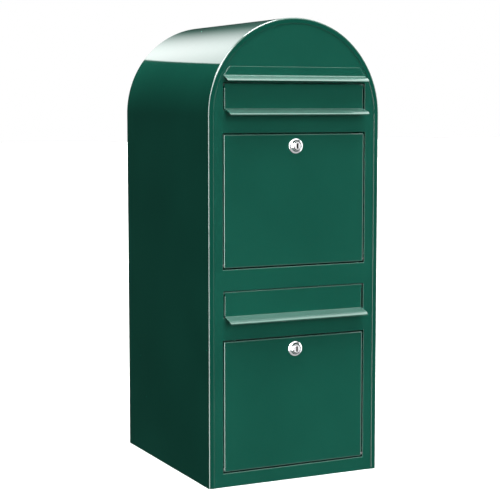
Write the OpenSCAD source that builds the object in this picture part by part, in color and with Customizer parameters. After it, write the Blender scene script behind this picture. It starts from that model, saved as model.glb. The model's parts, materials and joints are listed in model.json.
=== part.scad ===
// Free-standing mailbox with two compartments, one above the other.
// An arched steel shell holds a flat front plate. Each compartment has a mail flap that lifts
// outwards and a locked door that folds down. Millimetres, +Z up, +X to the right as seen from
// the front, the front faces -Y. The origin is the middle of the box's outline on the ground.

/* [Body] */
// Width of the shell
body_w = 310; // [300:2:330]
// Height to the crown of the arch
body_h = 754; // [752:2:790]
// Depth of the shell from its front rim to its rear rim
body_d = 356; // [320:4:420]
// Thickness of the sheet steel
sheet_t = 1.2; // [1.0:0.1:1.3]
// Width of the folded rim round the front of the shell
rim_w = 9; // [7:0.5:10]

/* [Compartments] */
// Height from the lower compartment's front to the upper one's
unit_pitch = 331; // [330:1:334]
// Lowest edge of the lower door opening
door_sill_z = 22.5; // [20:0.5:26]
// Width of the door openings
door_open_w = 259; // [250:0.5:262]
// Height of the door openings
door_open_h = 217; // [205:1:217]
// Lowest edge of the lower mail slot
slot_sill_z = 276; // [275.5:0.5:277.5]
// Width of the mail slots
slot_open_w = 257; // [250:0.5:260]
// Height of the mail slots
slot_open_h = 43; // [41.5:0.5:43.5]
// Gap round each door
edge_gap = 2; // [1.8:0.1:2.2]

/* [Doors] */
// Depth of a door's folded edges
door_d = 20; // [18:0.5:20]
// Height of the hinge axis above a door's lower edge
hinge_up = 4.2; // [4:0.1:4.6]
// Depth of the hinge axis behind a door's face
hinge_in = 3.0; // [2.9:0.1:3.2]
// Distance from a door's upper edge to the middle of its lock
lock_down = 19.5; // [18:0.5:22]

/* [Flaps] */
// Gap beside each flap
flap_gap = 2.5; // [2:0.1:3]
// How far a flap's lip stands out from the front plate
lip_reach = 21.5; // [18:0.5:24]
// How far a flap's lip drops below its fold
lip_drop = 9.4; // [8.5:0.1:11]

/* [Hidden] */

$fn = 96;
GREEN = [0.09, 0.36, 0.29];
DARK_GREEN = [0.06, 0.26, 0.21];
ZINC = [0.72, 0.74, 0.76];
CHROME = [0.86, 0.88, 0.90];
RUBBER = [0.10, 0.10, 0.10];
NYLON = [0.09, 0.09, 0.09];

// Clearances
fit = 0.2;        // between sheets that are spot-welded side by side
running = 0.05;   // radial, between a pin and the hole that turns on it
seat = 0.02;      // radial, between a pin and the hole that holds it
cut = 1;          // how far a cutting solid runs past a face

// Places that follow from the driving sizes
lip_past_rim = lip_reach - sheet_t;                  // the plate lies one sheet behind the rim
front_y = lip_past_rim - (body_d + lip_past_rim) / 2;
back_y = front_y + body_d;
plate_y = front_y + sheet_t;                         // outer face of the front plate
inside_front_y = plate_y + sheet_t;
inside_back_y = back_y - 2 * sheet_t;
mid_y = (front_y + back_y) / 2;
half_in = body_w / 2 - sheet_t;                      // half the clear width inside the shell
spring_z = body_h - body_w / 2;                      // where the straight sides end

// Doors
half_open = door_open_w / 2;
door_half = half_open - edge_gap;
door_z = door_sill_z + edge_gap;
door_h = door_open_h - 2 * edge_gap;
hinge_y = plate_y + hinge_in;
hinge_z = door_z + hinge_up;
pin_r = 1.6;
pin_out = 9;                                         // pin beyond the jamb, in its block
pin_in = 1.2;                                        // pin beyond the door's folded edge
block_w = 8;
washer_r = 2.7;

// Door frames
frame_d = 19;                                        // depth of a jamb
stop_front = 21.4;                                   // face of the stop lip behind the door
stop_lip_h = 7.5;
stop_lip_half = 118;
stud_r = 1.4;
stud_len = 1.4;
stud_orbit = 7.7;                                    // distance of both studs from the hinge
stud_low = 2.4;                                      // drop of the door's stud below the hinge
stud_start = -asin(stud_low / stud_orbit);
open_angle = 90;
stud_stop = stud_start + open_angle + 2 * asin((stud_r + 0.03) / stud_orbit);

// Locks
lock_z = door_z + door_h - lock_down;
barrel_r = 9.5;
bezel_out = 7;
plug_r = 6;
cam_front = 23.2;                                    // depths behind the door's face
cam_t = 2.5;
cam_reach = 30;
cam_w = 12;
hub_r = 8;
tang = 6;
screw_r = 2;

// Slots and flaps
half_slot = slot_open_w / 2;
flap_half = half_slot - flap_gap;
rod_r = 1.6;
curl_r = rod_r + running + sheet_t;
rod_in = 3.9;                                        // depth of the rod's axis
rod_y = plate_y + rod_in;
rod_z = slot_sill_z + slot_open_h - 0.7 - curl_r;
fold_z = slot_sill_z + 2;
lip_nose = 4.2;                                      // height and depth of the lip's steeper edge
slot_frame_d = 19;
clip_r = 2.6;
buffer_x = 60;

// Rain hood
hood_top_z = 675.5;
hood_fold_z = 661;
hood_bend_z = 657;
hood_tip_z = 653;
hood_bend_out = 12.5;
hood_tip_out = 16.5;
hood_top_half = 118;
hood_half = 128.6;
hood_tip_half = 127.2;

// Fixing holes
wall_hole_r = 4;
wall_dx = 200;
wall_dz = 500;
wall_mid_z = 370;
floor_hole_r = 4.5;
floor_dx = 200;
floor_dy = 240;

// A sheet's outline from the line of its outer face: the sheet lies on the left of the line.
function unit(v) = v / norm(v);
function side(v) = [-v.y, v.x];
function mitre(p, i, t) =
    let (
        last = len(p) - 1,
        before = side(unit(i > 0 ? p[i] - p[i - 1] : p[1] - p[0])),
        after = side(unit(i < last ? p[i + 1] - p[i] : p[last] - p[last - 1])),
        middle = unit(before + after)
    )
    p[i] + middle * t / (middle * before);
function ribbon(p, t) = concat(p, [for (i = [len(p) - 1 : -1 : 0]) mitre(p, i, t)]);

// Lifts a lower compartment's piece to the upper one
module up() {
    translate([0, 0, unit_pitch]) children();
}

// An outline in X and Z, extruded towards the back from y
module slab(y, t) {
    translate([0, y + t, 0]) rotate([90, 0, 0]) linear_extrude(height = t) children();
}

// An outline in Y and Z, extruded to both sides of the middle
module across(half) {
    rotate([90, 0, 90]) linear_extrude(height = 2 * half, center = true) children();
}

// The same piece on the left and on the right
module both_sides() {
    children();
    mirror([1, 0, 0]) children();
}

// A round bar along X from x0 to x1, at y and z
module bar_x(r, x0, x1, y, z) {
    translate([x0, y, z]) rotate([0, 90, 0]) cylinder(r = r, h = x1 - x0);
}

// A turned piece whose height runs towards the back, centred on the lock
module on_lock() {
    translate([0, plate_y, lock_z]) rotate([-90, 0, 0]) children();
}

// The body's arched outline, taken in by inset on the sides and the arch
module arch(inset, foot = 0) {
    half = body_w / 2 - inset;
    translate([-half, foot]) square([2 * half, spring_z - foot]);
    translate([0, spring_z]) circle(r = half, $fn = 180);
}

// Rectangle between two corners
module between(x0, z0, x1, z1) {
    translate([x0, z0]) square([x1 - x0, z1 - z0]);
}

// Four folded returns behind an opening, from the front plate back to depth
module returns(half, z0, z1, depth) {
    slab(inside_front_y, depth - sheet_t) difference() {
        between(-half - sheet_t, z0 - sheet_t, half + sheet_t, z1 + sheet_t);
        between(-half, z0, half, z1);
    }
}

module shell() {
    color(GREEN) difference() {
        slab(front_y, body_d) arch(0);
        slab(front_y + sheet_t, body_d - 2 * sheet_t) arch(sheet_t, -cut);
        slab(front_y - cut, body_d + 2 * cut) arch(rim_w, -cut);
    }
}

module front_plate() {
    color(GREEN) slab(plate_y, sheet_t) difference() {
        arch(sheet_t + fit);
        for (lift = [0, unit_pitch]) translate([0, lift]) {
            between(-half_open, door_sill_z, half_open, door_sill_z + door_open_h);
            between(-half_slot, slot_sill_z, half_slot, slot_sill_z + slot_open_h);
        }
    }
}

// A flange with slanted ends that lies on the front plate, then a lip with a steeper edge
module rain_hood() {
    outer = [[-sheet_t, hood_top_z], [-sheet_t, hood_fold_z], [-hood_bend_out, hood_bend_z],
        [-hood_tip_out, hood_tip_z]];
    front_view = [[-hood_top_half, hood_top_z], [-hood_half, hood_fold_z],
        [-hood_tip_half, hood_tip_z - 2 * sheet_t], [hood_tip_half, hood_tip_z - 2 * sheet_t],
        [hood_half, hood_fold_z], [hood_top_half, hood_top_z]];
    color(GREEN) intersection() {
        translate([0, plate_y, 0]) across(hood_half) polygon(ribbon(outer, sheet_t));
        slab(plate_y - hood_tip_out - cut, hood_tip_out + cut) polygon(front_view);
    }
}

module back_panel() {
    color(GREEN) difference() {
        slab(inside_back_y, sheet_t) arch(sheet_t + fit);
        for (x = [-1, 1], z = [-1, 1])
            translate([x * wall_dx / 2, inside_back_y - cut, wall_mid_z + z * wall_dz / 2])
                rotate([-90, 0, 0]) cylinder(r = wall_hole_r, h = sheet_t + 2 * cut);
    }
}

// A tray with its face at z and its folded edges reaching to z + edge (edge may be negative)
module tray(z, edge) {
    x = half_in - fit;
    y0 = inside_front_y + fit;
    y1 = inside_back_y - fit;
    low = edge > 0 ? z : z + sheet_t + edge;
    high = edge > 0 ? z + edge : z + sheet_t;
    hollow_low = edge > 0 ? z + sheet_t : z + edge;
    difference() {
        translate([-x, y0, low]) cube([2 * x, y1 - y0, high - low]);
        translate([-x + sheet_t, y0 + sheet_t, hollow_low])
            cube([2 * (x - sheet_t), y1 - y0 - 2 * sheet_t, abs(edge)]);
    }
}

module base_plate() {
    color(GREEN) difference() {
        tray(0, 12);
        for (x = [-1, 1], y = [-1, 1])
            translate([x * floor_dx / 2, mid_y + y * floor_dy / 2, -cut])
                cylinder(r = floor_hole_r, h = sheet_t + 2 * cut);
    }
}

module partition_shelf() {
    shelf_z = (slot_sill_z + slot_open_h + door_sill_z + unit_pitch) / 2 + 8;
    color(GREEN) tray(shelf_z, -12);
}

// Jambs, sill and head of a door opening, with the stop lip that the lock's cam reaches behind
module door_frame() {
    head_z = door_sill_z + door_open_h;
    head = [[inside_front_y + frame_d - sheet_t, head_z],
        [plate_y + stop_front + sheet_t, head_z],
        [plate_y + stop_front + sheet_t, head_z - stop_lip_h]];
    color(DARK_GREEN) {
        difference() {
            returns(half_open, door_sill_z, head_z, frame_d);
            both_sides() bar_x(pin_r + seat, half_open - cut, half_open + sheet_t + cut,
                hinge_y, hinge_z);
        }
        slab(plate_y + frame_d, stop_front + sheet_t - frame_d)
            between(-half_open, head_z, half_open, head_z + sheet_t);
        slab(plate_y + stop_front, sheet_t)
            between(-stop_lip_half, head_z - stop_lip_h, stop_lip_half, head_z);
        both_sides() bar_x(stud_r, half_open - stud_len, half_open,
            hinge_y + stud_orbit * cos(stud_stop), hinge_z + stud_orbit * sin(stud_stop));
    }
}

module slot_frame() {
    color(DARK_GREEN) difference() {
        returns(half_slot, slot_sill_z, slot_sill_z + slot_open_h, slot_frame_d);
        both_sides() bar_x(rod_r + seat, half_slot - cut, half_slot + sheet_t + cut, rod_y, rod_z);
    }
}

// Chute under the slot's sill: mail slides down it and can't be drawn back up
module mail_guide() {
    under = slot_sill_z - sheet_t;
    line = [[inside_front_y + 3, under], [plate_y + slot_frame_d, under],
        [plate_y + 60, under - 29], [plate_y + 60, under - 37]];
    color(DARK_GREEN) across(120) polygon(ribbon([for (i = [3 : -1 : 0]) line[i]], sheet_t));
}

module flap_rod() {
    color(ZINC) bar_x(rod_r, -half_slot - 4, half_slot + 4, rod_y, rod_z);
}

module ring_x(inner, outer, x0, x1, y, z) {
    difference() {
        bar_x(outer, x0, x1, y, z);
        bar_x(inner, x0 - cut, x1 + cut, y, z);
    }
}

module rod_clips() {
    x = half_slot + sheet_t + 0.2;
    color(ZINC) both_sides() ring_x(rod_r + seat, clip_r, x, x + 1, rod_y, rod_z);
}

module rod_spacers() {
    color(NYLON) both_sides()
        ring_x(rod_r + seat, clip_r, flap_half + 0.15, half_slot - 0.1, rod_y, rod_z);
}

// The blocks are welded to the outside of the jambs and hold the hinge pins
module hinge_blocks() {
    x = half_open + sheet_t;
    color(ZINC) both_sides() difference() {
        translate([x, inside_front_y + fit, hinge_z - block_w / 2]) cube([block_w, block_w, block_w]);
        bar_x(pin_r + seat, x - cut, x + block_w + cut, hinge_y, hinge_z);
    }
}

module hinge_pins() {
    color(ZINC) both_sides()
        bar_x(pin_r, door_half - sheet_t - pin_in, half_open + pin_out, hinge_y, hinge_z);
}

module hinge_washers() {
    color(NYLON) both_sides()
        ring_x(pin_r + seat, washer_r, door_half + 0.1, half_open - 0.1, hinge_y, hinge_z);
}

// Rubber noses on the slot's sill that the flap closes against
module flap_buffers() {
    touch = rod_y - curl_r + sheet_t + 0.1;
    color(RUBBER) for (x = [-buffer_x, buffer_x])
        translate([x - 5, touch, slot_sill_z]) cube([10, 4, 4]);
}

// Rubber pads on the stop lip that the door closes against
module door_buffers() {
    color(RUBBER) for (x = [-buffer_x, buffer_x])
        translate([x, plate_y + door_d + 0.1, door_z + door_h - 3.4]) rotate([-90, 0, 0])
            cylinder(r = 3, h = stop_front - door_d - 0.1);
}

// A sheet curled round the rod at its top, hanging down to a fold, with a lip to lift it by
module flap() {
    drop = rod_z - fold_z;
    tip = [-rod_in - lip_reach, -drop - lip_drop];
    face = [[-curl_r, 0], [-curl_r, -drop], tip + [lip_nose, lip_nose], tip];
    cheek_d = 6;
    cheek = [[-curl_r, -5], [-curl_r + cheek_d, -5], [-curl_r + cheek_d, -drop + 1.5],
        [-curl_r, -drop + 1.5]];
    color(GREEN) translate([0, rod_y, rod_z]) difference() {
        union() {
            across(flap_half) {
                circle(r = curl_r);
                polygon(ribbon(face, sheet_t));
            }
            both_sides() translate([flap_half - sheet_t / 2, 0, 0])
                across(sheet_t / 2) polygon(cheek);
        }
        across(flap_half + cut) circle(r = rod_r + running);
    }
}

// A tray with its face outwards; the hinge pins run in its side edges
module door() {
    color(GREEN) difference() {
        union() {
            difference() {
                translate([-door_half, plate_y, door_z]) cube([2 * door_half, door_d, door_h]);
                translate([-door_half + sheet_t, plate_y + sheet_t, door_z + sheet_t])
                    cube([2 * (door_half - sheet_t), door_d, door_h - 2 * sheet_t]);
            }
            both_sides() bar_x(stud_r, door_half - sheet_t / 2, door_half + stud_len,
                hinge_y + stud_orbit * cos(stud_start), hinge_z + stud_orbit * sin(stud_start));
        }
        on_lock() translate([0, 0, -cut]) cylinder(r = barrel_r + 0.1, h = sheet_t + 2 * cut);
        both_sides() bar_x(pin_r + running, door_half - 2 * sheet_t, door_half + cut,
            hinge_y, hinge_z);
    }
}

// Hat-shaped rail across the inside of the door
module door_stiffener() {
    deep = 15;
    low = door_z + door_h / 2 - 30;
    inner = inside_front_y;
    hat = [[inner, low], [inner, low + 12], [inner + deep - sheet_t, low + 12],
        [inner + deep - sheet_t, low + 48], [inner, low + 48], [inner, low + 60]];
    color(DARK_GREEN) across(120) polygon(ribbon([for (i = [5 : -1 : 0]) hat[i]], sheet_t));
}

// Tapered bezel that stands out from the door, and the barrel behind it
module lock_body() {
    color(CHROME) on_lock() rotate_extrude() polygon([
        [plug_r + running, -bezel_out], [7.6, -bezel_out], [8.2, -bezel_out + 0.6], [9.6, -2.8],
        [11.6, -2.0], [12.5, -1.1], [12.5, 0], [barrel_r, 0], [barrel_r, cam_front - 2.2],
        [plug_r + running, cam_front - 2.2]]);
}

module lock_nut() {
    color(ZINC) on_lock() translate([0, 0, sheet_t]) difference() {
        cylinder(r = 14, h = 5, $fn = 6);
        translate([0, 0, -cut]) cylinder(r = barrel_r + 0.1, h = 5 + 2 * cut);
    }
}

// The round plug that the key turns, with a square tang for the cam
module lock_plug() {
    slot_w = 3.2;
    slot_h = 9;
    face = -bezel_out - 0.4;
    color(CHROME) on_lock() difference() {
        union() {
            rotate_extrude() polygon([[0, face], [plug_r - 0.6, face], [plug_r, face + 0.6],
                [plug_r, cam_front - 0.2], [0, cam_front - 0.2]]);
            translate([-tang / 2, -tang / 2, cam_front - 0.3]) cube([tang, tang, cam_t + 0.2]);
        }
        translate([-slot_w / 2, -slot_h / 2, face - cut]) cube([slot_w, slot_h, 18 + cut]);
        translate([0, 0, cam_front - 8]) cylinder(r = screw_r + running, h = 8 + cam_t + cut);
    }
}

// Tongue on the plug's tang: hanging down when unlocked, upright behind the stop lip when locked
module lock_cam() {
    color(ZINC) on_lock() translate([0, 0, cam_front]) difference() {
        union() {
            cylinder(r = hub_r, h = cam_t);
            translate([-cam_w / 2, 0, 0]) cube([cam_w, cam_reach - cam_w / 2, cam_t]);
            translate([0, cam_reach - cam_w / 2, 0]) cylinder(r = cam_w / 2, h = cam_t);
        }
        translate([-tang / 2 - running, -tang / 2 - running, -cut])
            cube([tang + 2 * running, tang + 2 * running, cam_t + 2 * cut]);
    }
}

module cam_screw() {
    color(ZINC) on_lock() difference() {
        union() {
            translate([0, 0, cam_front + cam_t - 8.5]) cylinder(r = screw_r, h = 9);
            translate([0, 0, cam_front + cam_t]) cylinder(r = 5, h = 0.8);
            translate([0, 0, cam_front + cam_t + 0.7]) cylinder(r1 = 3.8, r2 = 3.0, h = 2.2);
        }
        for (turn = [0, 90]) rotate([0, 0, turn])
            translate([-2, -0.5, cam_front + cam_t + 1.7]) cube([4, 1, 3]);
    }
}

shell();
front_plate();
rain_hood();
back_panel();
base_plate();
partition_shelf();
up() door_frame();  // upper_door_frame
door_frame();  // lower_door_frame
up() slot_frame();  // upper_slot_frame
slot_frame();  // lower_slot_frame
up() mail_guide();  // upper_mail_guide
mail_guide();  // lower_mail_guide
up() flap_rod();  // upper_flap_rod
flap_rod();  // lower_flap_rod
up() rod_clips();  // upper_rod_clips
rod_clips();  // lower_rod_clips
up() rod_spacers();  // upper_rod_spacers
rod_spacers();  // lower_rod_spacers
up() hinge_blocks();  // upper_hinge_blocks
hinge_blocks();  // lower_hinge_blocks
up() hinge_pins();  // upper_hinge_pins
hinge_pins();  // lower_hinge_pins
up() hinge_washers();  // upper_hinge_washers
hinge_washers();  // lower_hinge_washers
up() flap_buffers();  // upper_flap_buffers
flap_buffers();  // lower_flap_buffers
up() door_buffers();  // upper_door_buffers
door_buffers();  // lower_door_buffers
up() flap();  // upper_flap
flap();  // lower_flap
up() door();  // upper_door
door();  // lower_door
up() door_stiffener();  // upper_door_stiffener
door_stiffener();  // lower_door_stiffener
up() lock_body();  // upper_lock_body
lock_body();  // lower_lock_body
up() lock_nut();  // upper_lock_nut
lock_nut();  // lower_lock_nut
up() lock_plug();  // upper_lock_plug
lock_plug();  // lower_lock_plug
up() lock_cam();  // upper_lock_cam
lock_cam();  // lower_lock_cam
up() cam_screw();  // upper_cam_screw
cam_screw();  // lower_cam_screw
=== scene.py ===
import json
from math import cos, pi, radians, sin

import bmesh
import bpy
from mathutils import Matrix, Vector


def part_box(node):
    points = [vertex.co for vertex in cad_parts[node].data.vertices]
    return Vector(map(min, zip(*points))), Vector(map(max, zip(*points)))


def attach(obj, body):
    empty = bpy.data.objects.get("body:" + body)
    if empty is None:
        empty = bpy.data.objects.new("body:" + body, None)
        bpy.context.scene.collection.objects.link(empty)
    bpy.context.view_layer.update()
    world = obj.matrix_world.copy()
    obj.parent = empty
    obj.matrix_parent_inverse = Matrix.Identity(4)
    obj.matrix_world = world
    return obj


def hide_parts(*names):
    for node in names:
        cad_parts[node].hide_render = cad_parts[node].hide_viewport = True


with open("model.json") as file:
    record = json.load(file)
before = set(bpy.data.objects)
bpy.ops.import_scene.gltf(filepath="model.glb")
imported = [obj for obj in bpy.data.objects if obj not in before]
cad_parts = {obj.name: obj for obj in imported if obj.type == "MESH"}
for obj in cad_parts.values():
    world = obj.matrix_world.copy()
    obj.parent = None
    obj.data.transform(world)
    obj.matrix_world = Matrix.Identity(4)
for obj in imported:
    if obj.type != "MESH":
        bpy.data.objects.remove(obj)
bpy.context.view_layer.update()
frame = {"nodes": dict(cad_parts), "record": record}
record = frame["record"]
slotOf = {part["node"]: part["material_slot"] for part in record["subparts"]}
bodyOf = {node: name for name, nodes in record["behaviour"]["bodies"].items() for node in nodes}
print("frame loaded:", len(slotOf), "nodes")

mm = 0.001
sheet = 1.2 * mm                                   # thickness of the sheet steel
shellLow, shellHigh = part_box("shell")
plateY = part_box("front_plate")[0].y                # outer face of the front plate
halfWidth = shellHigh.x
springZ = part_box("shell")[1].z - halfWidth         # the straight sides end here
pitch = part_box("upper_door")[0].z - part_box("lower_door")[0].z
levels = {"lower": 0, "upper": pitch}


def clear():
    if bpy.context.mode != "OBJECT":
        bpy.ops.object.mode_set(mode="OBJECT")
    bpy.ops.object.select_all(action="DESELECT")


def hold(piece):                                   # makes one piece the only selected one
    clear()
    piece.select_set(True)
    bpy.context.view_layer.objects.active = piece
    return piece


def edit(piece):
    hold(piece)
    bpy.ops.object.mode_set(mode="EDIT")


def middle(part):
    points = [part.co] if isinstance(part, bmesh.types.BMVert) else [v.co for v in part.verts]
    return sum(points[1:], points[0].copy()) / len(points)


def pick(piece, kind, test):                       # selects the verts, edges or faces that pass the test
    bpy.ops.mesh.select_mode(type={"verts": "VERT", "edges": "EDGE", "faces": "FACE"}[kind])
    mesh = bmesh.from_edit_mesh(piece.data)
    for part in [*mesh.verts, *mesh.edges, *mesh.faces]:
        part.select = False
    for part in [part for part in getattr(mesh, kind) if test(part)]:
        part.select_set(True)
    mesh.select_flush_mode()
    bmesh.update_edit_mesh(piece.data)


def near(a, b, gap=0.02 * mm):
    return abs(a - b) < gap


def extrude(x=0, y=0, z=0):
    bpy.ops.mesh.extrude_region_move(TRANSFORM_OT_translate={"value": (x, y, z)})


def roundOff(piece, test, radius, steps=4):        # rounds the edges that pass the test
    pick(piece, "edges", test)
    bpy.ops.mesh.bevel(offset=radius, segments=steps, affect="EDGES")


def modify(piece, kind, **settings):
    hold(piece)
    modifier = piece.modifiers.new(kind.lower(), kind)
    for name, value in settings.items():
        setattr(modifier, name, value)
    bpy.ops.object.modifier_apply(modifier=modifier.name)


def thicken(piece, wall, outward):                 # outward(face) is above 0 where the face looks out
    clear()
    looksOut = sum(outward(face) * face.area for face in piece.data.polygons) > 0
    modify(piece, "SOLIDIFY", thickness=wall, offset=-1 if looksOut else 1, use_even_offset=True)


def soften(piece, width, steps=2, angle=40):
    modify(piece, "BEVEL", width=width, segments=steps, limit_method="ANGLE",
           angle_limit=radians(angle), harden_normals=False)


def smooth(piece, angle=35):
    hold(piece)
    bpy.ops.object.shade_smooth_by_angle(angle=radians(angle))
    modify(piece, "WEIGHTED_NORMAL", weight=100, keep_sharp=True)


def combine(piece, operation):                     # cuts or joins the new active piece, and uses it up
    tool = bpy.context.object
    bpy.ops.object.transform_apply(location=True, rotation=True, scale=True)
    modify(piece, "BOOLEAN", operation=operation, solver="EXACT", object=tool)
    bpy.data.objects.remove(tool)


sideways, forwards = (0, pi / 2, 0), (pi / 2, 0, 0)     # turns of a cylinder


def boxed(piece, low, high, operation="DIFFERENCE"):
    clear()
    bpy.ops.mesh.primitive_cube_add(size=1, location=[(a + b) / 2 for a, b in zip(low, high)])
    bpy.context.object.scale = [b - a for a, b in zip(low, high)]
    combine(piece, operation)


def rounded(piece, radius, depth, place, turn, operation="DIFFERENCE"):
    clear()
    bpy.ops.mesh.primitive_cylinder_add(vertices=48, radius=radius, depth=depth, location=place,
                                        rotation=turn)
    combine(piece, operation)


def weld(gap=0.005 * mm):
    bpy.ops.mesh.select_all(action="SELECT")
    bpy.ops.mesh.remove_doubles(threshold=gap)


def strip(name, line, half):                       # a sheet across X that follows (y, z) points
    (y, z), *rest = line
    clear()
    bpy.ops.mesh.primitive_plane_add(size=2 * half, location=(0, y - half, z))
    piece = bpy.context.object
    piece.name = name
    bpy.ops.object.transform_apply(location=True, rotation=True, scale=True)
    edit(piece)
    pick(piece, "verts", lambda v: v.co.y < y - half)
    bpy.ops.mesh.delete(type="VERT")
    bpy.ops.mesh.select_mode(type="EDGE")
    bpy.ops.mesh.select_all(action="SELECT")
    for nextY, nextZ in rest:
        extrude(0, nextY - y, nextZ - z)
        y, z = nextY, nextZ
    return piece


def archLine(name, radius, y, foot, steps):        # the arched outline as an open run of edges
    clear()
    bpy.ops.mesh.primitive_circle_add(vertices=2 * steps, radius=radius, location=(0, y, springZ),
                                      rotation=(pi / 2, 0, 0))
    piece = bpy.context.object
    piece.name = name
    bpy.ops.object.transform_apply(location=True, rotation=True, scale=True)
    edit(piece)
    pick(piece, "verts", lambda v: v.co.z < springZ - 0.01 * mm)
    bpy.ops.mesh.delete(type="VERT")
    pick(piece, "verts", lambda v: near(v.co.z, springZ))
    extrude(0, 0, foot - springZ)
    return piece


def copyOf(piece, name, lift):                     # a copy with its own mesh, raised by lift
    twin = piece.copy()
    twin.data = piece.data.copy()
    twin.name = name
    bpy.context.collection.objects.link(twin)
    hold(twin)
    bpy.ops.transform.translate(value=(0, 0, lift))
    bpy.ops.object.transform_apply(location=True, rotation=True, scale=True)
    return twin


def nodeCopy(node):                                # a CAD node's mesh as a welded piece of its own
    piece = frame["nodes"][node].copy()
    piece.data = piece.data.copy()
    piece.name = node + "_shown"
    piece.parent = None
    bpy.context.collection.objects.link(piece)
    edit(piece)
    weld()
    bpy.ops.mesh.dissolve_limited(angle_limit=radians(0.5))
    clear()
    return piece


pieces = {}                                        # CAD node to the piece that stands for it


def settle(piece, node):
    clear()
    pieces[node] = piece
    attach(piece, bodyOf[node])
    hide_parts(node)


shellSizes = dict(rim=9 * mm, fold=3 * mm, foldSteps=5, steps=96, cutEdge=0.55 * mm)


def rimFrom(piece, y):                             # turns the open edge at y inwards as a flat rim
    pick(piece, "edges", lambda e: all(near(v.co.y, y) for v in e.verts))
    extrude()
    inner = (halfWidth - shellSizes["rim"]) / halfWidth
    bpy.ops.transform.resize(value=(inner, 1, inner), center_override=(0, y, springZ))
    foot = springZ * (1 - inner)
    pick(piece, "verts", lambda v: near(v.co.y, y) and near(v.co.z, foot, 0.1 * mm))
    bpy.ops.transform.translate(value=(0, 0, -foot))


def makeShell():
    s = shellSizes
    front, back = shellLow.y, shellHigh.y
    piece = archLine("arched_shell", halfWidth, front, 0, s["steps"])
    bpy.ops.mesh.select_mode(type="EDGE")
    bpy.ops.mesh.select_all(action="SELECT")
    extrude(0, back - front, 0)
    rimFrom(piece, front)
    rimFrom(piece, back)
    weld()
    bpy.ops.mesh.normals_make_consistent(inside=False)

    def onFold(e):
        a, b = (v.co for v in e.verts)
        flat = near(a.y, b.y) and (near(a.y, front) or near(a.y, back))
        outer = [near((v.x ** 2 + max(v.z - springZ, 0) ** 2) ** 0.5, halfWidth, 0.1 * mm) for v in (a, b)]
        return flat and all(outer)

    roundOff(piece, onFold, s["fold"], s["foldSteps"])
    clear()
    thicken(piece, sheet, lambda face: face.normal.x * face.center.x)
    soften(piece, s["cutEdge"], 3, 60)
    smooth(piece)
    settle(piece, "shell")


makeShell()
print("shell made")


# The openings are given by half their width, their sill and their top
plateSizes = dict(clearance=0.2 * mm, cutEdge=0.35 * mm, sillEdge=1 * mm,
                  door=(129.5 * mm, 22.5 * mm, 239.5 * mm), slot=(128.5 * mm, 276 * mm, 319 * mm))


def makeFrontPlate():
    s = plateSizes
    piece = archLine("front_sheet", halfWidth - sheet - s["clearance"], plateY, 0, shellSizes["steps"])
    bpy.ops.mesh.select_all(action="SELECT")
    bpy.ops.mesh.edge_face_add()
    extrude(0, sheet, 0)
    bpy.ops.mesh.select_all(action="SELECT")
    bpy.ops.mesh.normals_make_consistent(inside=False)
    openings = [(half, low + lift, high + lift) for lift in levels.values()
                for half, low, high in (s["door"], s["slot"])]
    for half, low, high in openings:
        boxed(piece, (-half, plateY - sheet, low), (half, plateY + 2 * sheet, high))

    def onRim(e):                                  # front edges of the openings
        if not all(near(v.co.y, plateY) for v in e.verts) or e.calc_face_angle(0) < 1:
            return False
        m = middle(e)
        return any(low - 0.1 * mm < m.z < high + 0.1 * mm and abs(m.x) < half + 0.1 * mm
                   for half, low, high in openings)

    def onSill(e):                                 # level edges at the foot of the door openings
        a, b = (v.co.z for v in e.verts)
        return onRim(e) and near(a, b) and any(near(a, s["door"][1] + lift) for lift in levels.values())

    edit(piece)
    roundOff(piece, onSill, s["sillEdge"], 4)
    roundOff(piece, onRim, s["cutEdge"], 3)
    clear()
    smooth(piece)
    settle(piece, "front_plate")


makeFrontPlate()
print("front plate made")


hoodSizes = dict(top=675.5 * mm, fold=661 * mm, bend=657 * mm, tip=653 * mm, bendOut=12.5 * mm,
                 tipOut=16.5 * mm, topHalf=118 * mm, half=128.6 * mm, tipHalf=127.2 * mm,
                 foldRound=1.4 * mm, bendRound=3 * mm, hem=0.5 * mm)


def makeHood():
    s = hoodSizes
    line = [(plateY - sheet, s["top"]), (plateY - sheet, s["fold"]), (plateY - s["bendOut"], s["bend"]),
            (plateY - s["tipOut"], s["tip"])]
    piece = strip("hood_sheet", line, s["half"])
    for side in (-1, 1):
        for z, half in ((s["top"], s["topHalf"]), (s["tip"], s["tipHalf"])):
            pick(piece, "verts", lambda v: near(v.co.z, z) and v.co.x * side > 0)
            bpy.ops.transform.translate(value=(side * (half - s["half"]), 0, 0))
    roundOff(piece, lambda e: all(near(v.co.z, s["fold"]) for v in e.verts), s["foldRound"], 4)
    roundOff(piece, lambda e: all(near(v.co.z, s["bend"]) for v in e.verts), s["bendRound"], 6)
    clear()
    thicken(piece, sheet, lambda face: -face.normal.y)
    soften(piece, s["hem"], 3, 50)
    smooth(piece)
    settle(piece, "rain_hood")


makeHood()
print("rain hood made")


flapSizes = dict(half=126 * mm, curl=2.85 * mm, curlTurn=radians(265), curlSteps=16, slotLow=276 * mm,
                 foldUp=2 * mm, reach=21.5 * mm, lipDrop=9.4 * mm, nose=4.2 * mm, foldRound=1.4 * mm,
                 noseRound=3.2 * mm, hem=1.15 * mm, hemBack=4 * mm, hemSteps=6, tipHalf=125.2 * mm,
                 side=5.5 * mm, sideBend=1.6 * mm, sideTop=0.14, sideFoot=0.95, narrow=3.5 * mm,
                 wall=0.94, cutEdge=0.25 * mm)


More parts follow.
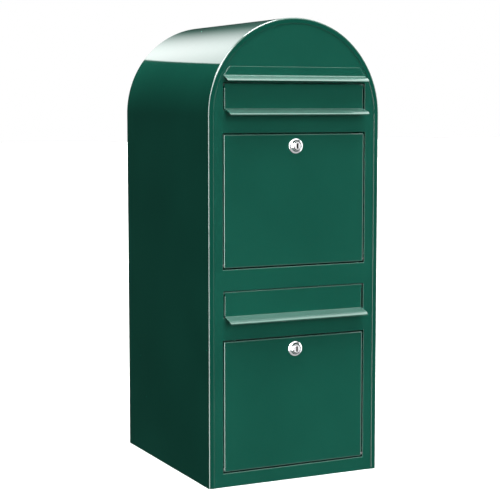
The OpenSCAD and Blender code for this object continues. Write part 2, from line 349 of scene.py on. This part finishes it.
def makeFlap():
    s = flapSizes
    rodLow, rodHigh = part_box("lower_flap_rod")
    axisY = (rodLow.y + rodHigh.y) / 2
    axisZ = (rodLow.z + rodHigh.z) / 2
    foldY = axisY - s["curl"]
    foldZ = s["slotLow"] + s["foldUp"]
    tipY = plateY - s["reach"]
    tipZ = foldZ - s["lipDrop"]
    bendY, bendZ = tipY + s["nose"], tipZ + s["nose"]

    def curlPoint(i):
        turn = s["curlTurn"] * (1 - i / s["curlSteps"])
        return axisY - s["curl"] * cos(turn), axisZ + s["curl"] * sin(turn)

    curl = [curlPoint(i) for i in range(s["curlSteps"] + 1)]
    startY, startZ = curl[-1]

    def onFace(t):                                 # a point of the face, from the curl at 0 to the fold at 1
        return startY + (foldY - startY) * t, startZ + (foldZ - startZ) * t

    alongY = alongZ = -0.5 ** 0.5                  # the lip's edge points down at 45 degrees
    inY, inZ = -alongZ, alongY                     # across the lip, towards its underside
    hemY = tipY - alongY * s["hem"] + inY * s["hem"]
    hemZ = tipZ - alongZ * s["hem"] + inZ * s["hem"]

    def hemPoint(i):                               # half a turn round the lip's edge
        turn = pi * i / s["hemSteps"]
        out, across = sin(turn) * s["hem"], -cos(turn) * s["hem"]
        return hemY + alongY * out + inY * across, hemZ + alongZ * out + inZ * across

    hem = [hemPoint(i) for i in range(s["hemSteps"] + 1)]
    endY, endZ = hem[-1]
    hem.append((endY - alongY * s["hemBack"], endZ - alongZ * s["hemBack"]))
    face = [onFace(s["sideTop"]), onFace(s["sideFoot"])]
    piece = strip("lower_flap_sheet", curl + face + [(foldY, foldZ), (bendY, bendZ)] + hem, s["half"])

    for side in (-1, 1):                           # narrows the lip towards its edge
        pick(piece, "verts", lambda v: v.co.x * side > 0 and v.co.y < tipY + s["narrow"])
        bpy.ops.transform.translate(value=(side * (s["tipHalf"] - s["half"]), 0, 0))
    highSide, lowSide = (z for y, z in face)

    def onSide(e):
        return near(abs(middle(e).x), s["half"]) and all(
            lowSide - 0.1 * mm < v.co.z < highSide + 0.1 * mm and v.co.y < axisY for v in e.verts)

    pick(piece, "edges", onSide)
    extrude(0, s["side"], 0)
    roundOff(piece, onSide, s["sideBend"], 3)
    roundOff(piece, lambda e: all(near(v.co.z, foldZ) for v in e.verts), s["foldRound"], 4)
    roundOff(piece, lambda e: all(near(v.co.z, bendZ) and near(v.co.y, bendY) for v in e.verts),
             s["noseRound"], 6)
    clear()
    largest = max(face.area for face in piece.data.polygons)
    thicken(piece, sheet * s["wall"], lambda face: -face.normal.y if face.area == largest else 0)
    soften(piece, s["cutEdge"], 2, 60)
    smooth(piece, 40)
    upper = copyOf(piece, "upper_flap_sheet", pitch)
    settle(piece, "lower_flap")
    settle(upper, "upper_flap")


makeFlap()
print("flaps made")


doorSizes = dict(half=127.5 * mm, fold=2.4 * mm, cutEdge=0.3 * mm, lockHole=9.6 * mm, pinHole=1.65 * mm,
                 cutDepth=8 * mm, stud=1.4 * mm, studOut=1.3 * mm, studIn=0.7 * mm,
                 studBack=7.3 * mm, studDown=2.4 * mm)


def makeDoor():
    s = doorSizes
    low, high = (corner.copy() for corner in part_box("lower_door"))
    half = s["half"]                               # the studs stand out past the folded edges
    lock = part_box("lower_lock_plug")
    lockZ = (lock[0].z + lock[1].z) / 2
    clear()
    bpy.ops.mesh.primitive_cube_add(size=1, location=(0, (low.y + high.y) / 2, (low.z + high.z) / 2))
    piece = bpy.context.object
    piece.name = "lower_door_pan"
    piece.scale = (2 * half, high.y - low.y, high.z - low.z)
    bpy.ops.object.transform_apply(location=True, rotation=True, scale=True)
    edit(piece)
    pick(piece, "faces", lambda f: near(middle(f).y, high.y))
    bpy.ops.mesh.delete(type="FACE")
    roundOff(piece, lambda e: len(e.link_faces) == 2, s["fold"], 5)
    clear()
    thicken(piece, sheet, lambda face: -face.normal.y)
    rounded(piece, s["lockHole"], s["cutDepth"], (0, low.y, lockZ), forwards)
    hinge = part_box("lower_hinge_pins")
    place = (0, (hinge[0].y + hinge[1].y) / 2, (hinge[0].z + hinge[1].z) / 2)
    rounded(piece, s["pinHole"], 2 * half + s["cutDepth"], place, sideways)
    for side in (-1, 1):
        x = side * (half + (s["studOut"] - s["studIn"]) / 2)
        stud = (x, place[1] + s["studBack"], place[2] - s["studDown"])
        rounded(piece, s["stud"], s["studOut"] + s["studIn"], stud, sideways, "UNION")
    soften(piece, s["cutEdge"], 2, 60)
    smooth(piece)
    upper = copyOf(piece, "upper_door_pan", pitch)
    settle(piece, "lower_door")
    settle(upper, "upper_door")


makeDoor()
print("doors made")


# Depths are measured from the door's face, and the bezel runs from its rim inwards to the door
lockSizes = dict(out=7 * mm, camFront=23.2 * mm, plug=6 * mm, plugOut=7.4 * mm, gap=0.15 * mm,
                 barrel=9.5 * mm, slotWide=3.2 * mm, slotHigh=9 * mm, slotDeep=10 * mm, tang=6 * mm,
                 screw=2.05 * mm, screwDeep=8 * mm, screwOut=2 * mm, camWall=2.2 * mm, camGap=0.2 * mm,
                 chamfer=0.5 * mm, bodyEdge=0.3 * mm, plugEdge=0.2 * mm, steps=56,
                 bezel=((7.6 * mm, -7 * mm), (8.2 * mm, -6.4 * mm), (9.6 * mm, -2.8 * mm),
                        (11.6 * mm, -2 * mm), (12.4 * mm, -1.2 * mm), (12.4 * mm, 0)))


def turned(name, outline, z, steps):               # (radius, depth) points turned round the lock's axis
    (radius, depth), *rest = outline
    clear()
    bpy.ops.mesh.primitive_plane_add(size=2 * mm, location=(radius - mm, plateY + depth - mm, z))
    piece = bpy.context.object
    piece.name = name
    bpy.ops.object.transform_apply(location=True, rotation=True, scale=True)
    edit(piece)
    pick(piece, "verts", lambda v: not (near(v.co.x, radius) and near(v.co.y, plateY + depth)))
    bpy.ops.mesh.delete(type="VERT")
    bpy.ops.mesh.select_mode(type="VERT")
    bpy.ops.mesh.select_all(action="SELECT")
    for nextRadius, nextDepth in rest:
        extrude(nextRadius - radius, nextDepth - depth, 0)
        radius, depth = nextRadius, nextDepth
    bpy.ops.mesh.select_all(action="SELECT")
    bpy.ops.mesh.spin(steps=steps, angle=2 * pi, center=(0, plateY, z), axis=(0, 1, 0))
    weld()
    bpy.ops.mesh.select_all(action="SELECT")
    bpy.ops.mesh.normals_make_consistent(inside=False)
    clear()
    return piece


def makeLocks():
    s = lockSizes
    low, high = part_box("lower_lock_plug")
    z = (low.z + high.z) / 2
    bore, back = s["plug"] + s["gap"], s["camFront"] - s["camWall"]
    body = turned("lower_lock_bezel", [
        (bore, -s["out"]), *s["bezel"], (s["barrel"], 0), (s["barrel"], back), (bore, back),
        (bore, -s["out"])], z, s["steps"])
    soften(body, s["bodyEdge"], 3, 25)
    smooth(body)
    end = s["camFront"] - s["camGap"]
    plug = turned("lower_lock_core", [
        (0, -s["plugOut"]), (s["plug"] - s["chamfer"], -s["plugOut"]),
        (s["plug"], -s["plugOut"] + s["chamfer"]), (s["plug"], end), (0, end)], z, s["steps"])
    y = plateY - s["plugOut"]
    boxed(plug, (-s["slotWide"] / 2, y - mm, z - s["slotHigh"] / 2),
           (s["slotWide"] / 2, y + s["slotDeep"], z + s["slotHigh"] / 2))
    tang = s["tang"] / 2
    boxed(plug, (-tang, plateY + end - mm, z - tang), (tang, high.y, z + tang), "UNION")
    screwPlace = (0, plateY + s["camFront"] + s["screwOut"], z)
    rounded(plug, s["screw"], 2 * (s["screwDeep"] + s["screwOut"]), screwPlace, forwards)
    soften(plug, s["plugEdge"], 2, 40)
    smooth(plug)
    for piece, part in ((body, "lock_body"), (plug, "lock_plug")):
        upper = copyOf(piece, piece.name.replace("lower", "upper"), pitch)
        settle(piece, "lower_" + part)
        settle(upper, "upper_" + part)


makeLocks()
print("locks made")


# How much is taken off the edges of the pieces that keep their CAD shape, by the last word of their name
edgeWidths = {"buffers": 0.8 * mm, "shelf": 0.35 * mm, "plate": 0.35 * mm, "panel": 0.35 * mm,
              "frame": 0.35 * mm, "guide": 0.35 * mm, "stiffener": 0.35 * mm, "blocks": 0.6 * mm,
              "nut": 0.5 * mm, "cam": 0.4 * mm, "rod": 0.5 * mm, "pins": 0.3 * mm, "plug": 0.25 * mm,
              "body": 0.25 * mm, "screw": 0.12 * mm, "clips": 0.2 * mm, "spacers": 0.2 * mm,
              "washers": 0.2 * mm}


def keepShapes():
    for node in slotOf:
        if node not in pieces:
            piece = nodeCopy(node)
            soften(piece, edgeWidths[node.split("_")[-1]], 3)
            smooth(piece)
            settle(piece, node)


keepShapes()
print("other parts softened")


class Wire:                                        # a node's output that sums can be written with
    def __init__(self, tree, socket):
        self.tree = tree
        self.socket = socket

    def maths(self, operation, a, b=0.0):
        return self.add("Math", dict(operation=operation), {0: a, 1: b})

    def add(self, kind, settings, inputs, output=0):
        node = self.tree.nodes.new("ShaderNode" + kind)
        for name, value in settings.items():
            setattr(node, name, value)
        for name, value in inputs.items():
            if isinstance(value, Wire):
                self.tree.links.new(value.socket, node.inputs[name])
            else:
                node.inputs[name].default_value = value
        return Wire(self.tree, node.outputs[output])

    def __add__(self, other):
        return self.maths("ADD", self, other)

    def __sub__(self, other):
        return self.maths("SUBTRACT", self, other)

    def __rsub__(self, other):
        return self.maths("SUBTRACT", other, self)

    def __mul__(self, other):
        return self.maths("MULTIPLY", self, other)

    __radd__ = __add__
    __rmul__ = __mul__

    def between(self, low, high, start=0.0, end=1.0):      # a smooth step from start to end
        return self.add("MapRange", dict(interpolation_type="SMOOTHSTEP"),
                        {0: self, 1: low, 2: high, 3: start, 4: end})

    def noise(self, scale, detail=2.0, rough=0.5):
        return self.add("TexNoise", {}, {"Vector": self, "Scale": scale, "Detail": detail,
                                         "Roughness": rough})

    def tint(self, dark, light):                           # this value as a place between two colours
        return self.add("Mix", dict(data_type="RGBA"), {0: self, 6: (*dark, 1), 7: (*light, 1)}, 2)


def material(name):                                # a material, its shader and a wire of object coordinates
    made = bpy.data.materials.new(name)
    made.use_nodes = True
    tree = made.node_tree
    shader = tree.nodes["Principled BSDF"]
    start = Wire(tree, None)
    return made, shader, start.add("TexCoord", {}, {}, "Object")


def feed(shader, **inputs):                        # sets or links the shader's inputs
    for name, value in inputs.items():
        socket = shader.inputs[name.replace("_", " ")]
        if isinstance(value, Wire):
            value.tree.links.new(value.socket, socket)
        else:
            socket.default_value = value


def bump(height, depth, strength=1.0):
    return height.add("Bump", {}, {"Height": height, "Distance": depth, "Strength": strength})


topSheenColour = (0.60, 0.56, 0.60)                    # painted highlight: a pale colour mixed into what faces up, standing in for the light that the tops catch
paints = {
    "body_paint": dict(dark=(0.0035, 0.066, 0.0435), light=(0.0050, 0.078, 0.0515), haze=0.38,
                       hazeLevel=0.0, coat=1.0, gloss=0.04, peel=0.006 * mm, topSheen=0.06),
    "front_paint": dict(dark=(0.0034, 0.070, 0.0465), light=(0.0046, 0.082, 0.0545), haze=0.34,
                        hazeLevel=0.12, coat=1.0, gloss=0.06, peel=0.01 * mm, topSheen=0.06),
    "inner_paint": dict(dark=(0.0030, 0.050, 0.0330), light=(0.0042, 0.060, 0.0400), haze=0.5,
                        hazeLevel=0.3, coat=0.6, gloss=0.14, peel=0.04 * mm, topSheen=0.02)}


coatGrain = dict(cloud=6, fleck=1800, peel=420, finePeel=1500, patches=38)      # waves per metre


def powderCoat(name, s):
    made, shader, place = material(name)
    cloud = place.noise(coatGrain["cloud"], 3)
    fleck = place.noise(coatGrain["fleck"], 1)
    peel = place.noise(coatGrain["peel"], 3, 0.55) + 0.25 * place.noise(coatGrain["finePeel"], 2)
    patches = place.noise(coatGrain["patches"], 5, 0.65)
    facing = place.add("TexCoord", {}, {}, "Normal")
    # painted highlight: up-facing paint is lightened, unevenly through the patches, as if lit from above
    topSheen = facing.add("SeparateXYZ", {}, {0: facing}, 2).between(0.55, 0.98) * (0.7 + 0.6 * patches)
    paint = (cloud * 0.85 + fleck * 0.15).between(0.3, 0.7).tint(s["dark"], s["light"])
    colour = topSheen.add("Mix", dict(data_type="RGBA"), {0: topSheen * s["topSheen"], 6: paint, 7: (*topSheenColour, 1)}, 2)
    feed(shader, Specular_IOR_Level=s["hazeLevel"], Base_Color=colour,
         Roughness=s["haze"] + 0.05 * patches + 0.04 * (fleck - 0.5), IOR=1.5, Metallic=0.0,
         Coat_Weight=s["coat"] - 0.04 * patches, Coat_Roughness=s["gloss"], Coat_IOR=1.5,
         Normal=bump(peel, s["peel"]))
    return made


# Grey of the dull and the clean spots, and how strongly painted shade blackens the key slot behind the plug's
# face
chromes = {"chrome": dict(dark=0.36, light=0.44, metal=0.95, slotShade=0.0),
           "core": dict(dark=0.80, light=0.90, metal=0.1, slotShade=1.0)}


def chrome(name, dark, light, metal, slotShade):
    made, shader, place = material(name)
    smear = place.noise(260, 4, 0.6)
    scratch = place.add("Mapping", {}, {0: place, 3: (1, 1, 0.06)}).noise(2600, 3)
    depth = place.add("SeparateXYZ", {}, {0: place}, 1)
    face = plateY - lockSizes["plugOut"]
    # painted shade: the key slot behind the plug's face is coloured near black, as it lies in shadow
    inside = slotShade * depth.between(face + 0.3 * mm, face + 1.2 * mm)
    polish = smear.tint((dark, dark + 0.01, dark + 0.02), (light, light + 0.01, light + 0.02))
    colour = inside.add("Mix", dict(data_type="RGBA"), {0: inside, 6: polish, 7: (0.01, 0.01, 0.01, 1)}, 2)
    feed(shader, Base_Color=colour, Metallic=metal,
         Roughness=0.06 + 0.07 * smear.between(0.45, 0.75) + 0.03 * scratch,
         Normal=bump(scratch, 0.002 * mm, 0.6))
    return made


def zinc(name):
    made, shader, place = material(name)
    spangle = place.add("TexVoronoi", {}, {"Vector": place, "Scale": 420.0}, "Color")
    grain = spangle.add("SeparateColor", {}, {0: spangle})
    grit = place.noise(2200, 3)
    feed(shader, Base_Color=(0.7 * grain + 0.3 * grit).tint((0.42, 0.43, 0.44), (0.66, 0.67, 0.68)),
         Metallic=0.9, Roughness=0.30 + 0.16 * grain + 0.08 * grit, Normal=bump(grit, 0.01 * mm))
    return made


def rubber(name):
    made, shader, place = material(name)
    grain = place.noise(1400, 4, 0.6)
    bloom = place.noise(90, 3).between(0.5, 0.75)
    feed(shader, Base_Color=(0.6 * bloom + 0.4 * grain).tint((0.010, 0.010, 0.010), (0.035, 0.035, 0.034)),
         Roughness=0.62 + 0.2 * grain, Normal=bump(grain, 0.03 * mm))
    return made


def nylon(name):
    made, shader, place = material(name)
    cloud = place.noise(160, 3)
    grain = place.noise(1900, 2)
    feed(shader, Base_Color=(0.7 * cloud + 0.3 * grain).tint((0.012, 0.012, 0.012), (0.022, 0.022, 0.021)),
         Roughness=0.42 + 0.15 * grain, Normal=bump(grain, 0.01 * mm))
    return made


finishes = {name: powderCoat(name, sizes) for name, sizes in paints.items()}
finishes.update({name: chrome(name, **sizes) for name, sizes in chromes.items()})
finishes.update(zinc=zinc("zinc"), rubber=rubber("rubber"), nylon=nylon("nylon"))


def giveFinish(piece, made):
    piece.data.materials.clear()
    piece.data.materials.append(made)


for node, piece in pieces.items():
    giveFinish(piece, finishes["core" if node.endswith("lock_plug") else slotOf[node]])
print("materials given")


floorSizes = dict(across=40, light=(0.80, 0.80, 0.80), dark=(0.77, 0.77, 0.77))


def makeFloor():
    s = floorSizes
    clear()
    bpy.ops.mesh.primitive_plane_add(size=s["across"], location=(0, 0, 0))
    floor = bpy.context.object
    floor.name = "studio_floor"
    floor.visible_glossy = floor.visible_diffuse = False
    made, shader, place = material("floor")
    feed(shader, Base_Color=place.noise(3, 4).tint(s["dark"], s["light"]), Roughness=0.8)
    giveFinish(floor, made)


def aim(thing, yaw, pitch):                        # yaw turns the view from +Y towards +X, pitch looks down
    thing.rotation_euler = (pi / 2 - radians(pitch), 0, -radians(yaw))


# Lamps by where they shine from: degrees to the left of the front, degrees up, and how wide they look
lamps = {
    "front_softbox": dict(left=-8, up=4, wide=60, power=3.1, matt=True, gloss=False),
    "overhead_softbox": dict(left=10, up=86, wide=52, power=7.4, matt=True, gloss=False),
    "overhead_shine": dict(left=10, up=86, wide=30, power=11.0, matt=False, gloss=True)}


def makeLamps():
    for name, s in lamps.items():
        clear()
        bpy.ops.object.light_add(type="SUN", location=(0, 0, 3))
        lamp = bpy.context.object
        lamp.name = name
        lamp.data.angle = radians(s["wide"])
        lamp.data.energy = s["power"]
        lamp.visible_diffuse = s["matt"]
        lamp.visible_glossy = s["gloss"]
        aim(lamp, s["left"], s["up"])


# How bright the gloss paint mirrors each part of the studio
brightness = dict(panel=3.7, ceiling=5.0, strip=16.0, right=5.0, front=0.5, corner=5.0, shine=12.0,
                  floor=1.2)

# Where the parts lie, by direction. A pair is where a part starts to fade in or out, and where it has done so
studio = dict(fill=0.28, dark=0.02, camera=1.0, panelEdge=(0.356, 0.360), panelTilt=0.148, panelDrop=0.9,
              panelAhead=(0.1, 0.3), panelRight=(-0.06, 0.355), ceilingUp=(0.5, 0.7), stripLeft=62.0,
              stripWide=22.0, stripSoft=0.01, stripUp=(-0.6, -0.3), stripTop=(0.82, 0.86),
              rightSide=(0.80, 0.86), frontSide=(-0.2, 0.2), frontUp=(0.10, 0.35), cornerSide=(-0.05, 0.2),
              cornerUp=(0.2, 0.35), shineSide=(-0.5, -0.3), shineUp=(0.45, 0.55), shineAhead=(0.5, 0.7),
              floorDown=(-0.5, -0.3))


def makeWorld():
    s = studio
    world = bpy.data.worlds.new("studio")
    bpy.context.scene.world = world
    world.use_nodes = True
    tree = world.node_tree
    start = Wire(tree, None)
    ray = start.add("TexCoord", {}, {}, "Generated")
    x, y, z = (ray.add("SeparateXYZ", {}, {0: ray}, i) for i in range(3))
    edge = z + x.maths("MAXIMUM", s["panelTilt"] * x, s["panelDrop"] * x)
    ceiling = z.between(*s["ceilingUp"])
    panel = edge.between(*s["panelEdge"]) * y.between(*s["panelAhead"]) \
        * x.between(*s["panelRight"], 1, 0) * (1 - ceiling)
    across, ahead = sin(radians(s["stripLeft"])), cos(radians(s["stripLeft"]))
    flat = x.maths("SQRT", 1.001 - z * z)          # a little over 1, as straight up has no sideways part
    facing = x.maths("DIVIDE", x * -across + y * -ahead, flat)
    wide, soft = cos(radians(s["stripWide"])), s["stripSoft"]
    strip = facing.between(wide - soft, wide + soft) * z.between(*s["stripUp"]) \
        * z.between(*s["stripTop"], 1, 0)
    right = x.between(*s["rightSide"]) * z.between(*s["stripUp"])
    behind = y.between(*s["frontSide"], 1, 0)      # on the camera's side
    front = behind * z.between(*s["frontUp"])
    corner = x.between(*s["cornerSide"], 1, 0) * behind * z.between(*s["cornerUp"]) * (1 - ceiling)
    shine = x.between(*s["shineSide"], 1, 0) * z.between(*s["shineUp"]) * y.between(*s["shineAhead"], 1, 0)
    floor = z.between(*s["floorDown"], 1, 0)
    parts = dict(panel=panel, ceiling=ceiling, strip=strip, right=right, front=front, corner=corner,
                 shine=shine, floor=floor)
    gloss = s["dark"] + sum(brightness[name] * part for name, part in parts.items())
    seenByCamera = start.add("LightPath", {}, {}, "Is Camera Ray")
    seenByGloss = start.add("LightPath", {}, {}, "Is Glossy Ray")
    unseen = seenByGloss * gloss + (1 - seenByGloss) * s["fill"]
    strength = seenByCamera * s["camera"] + (1 - seenByCamera) * unseen
    background = tree.nodes["Background"]
    background.inputs["Color"].default_value = (1, 1, 1, 1)
    tree.links.new(strength.socket, background.inputs["Strength"])


cameraPlace = dict(place=(-1.0668, -2.1987, 0.6142), yaw=25.86, pitch=5.83, lens=102.04, film=36.0)


def makeCamera():
    s = cameraPlace
    clear()
    bpy.ops.object.camera_add(location=s["place"])
    camera = bpy.context.object
    aim(camera, s["yaw"], s["pitch"])
    camera.data.lens = s["lens"]
    camera.data.sensor_width = s["film"]
    bpy.context.scene.camera = camera


makeFloor()
makeLamps()
makeWorld()
makeCamera()
bpy.context.scene.view_settings.view_transform = "Standard"
print("studio made")
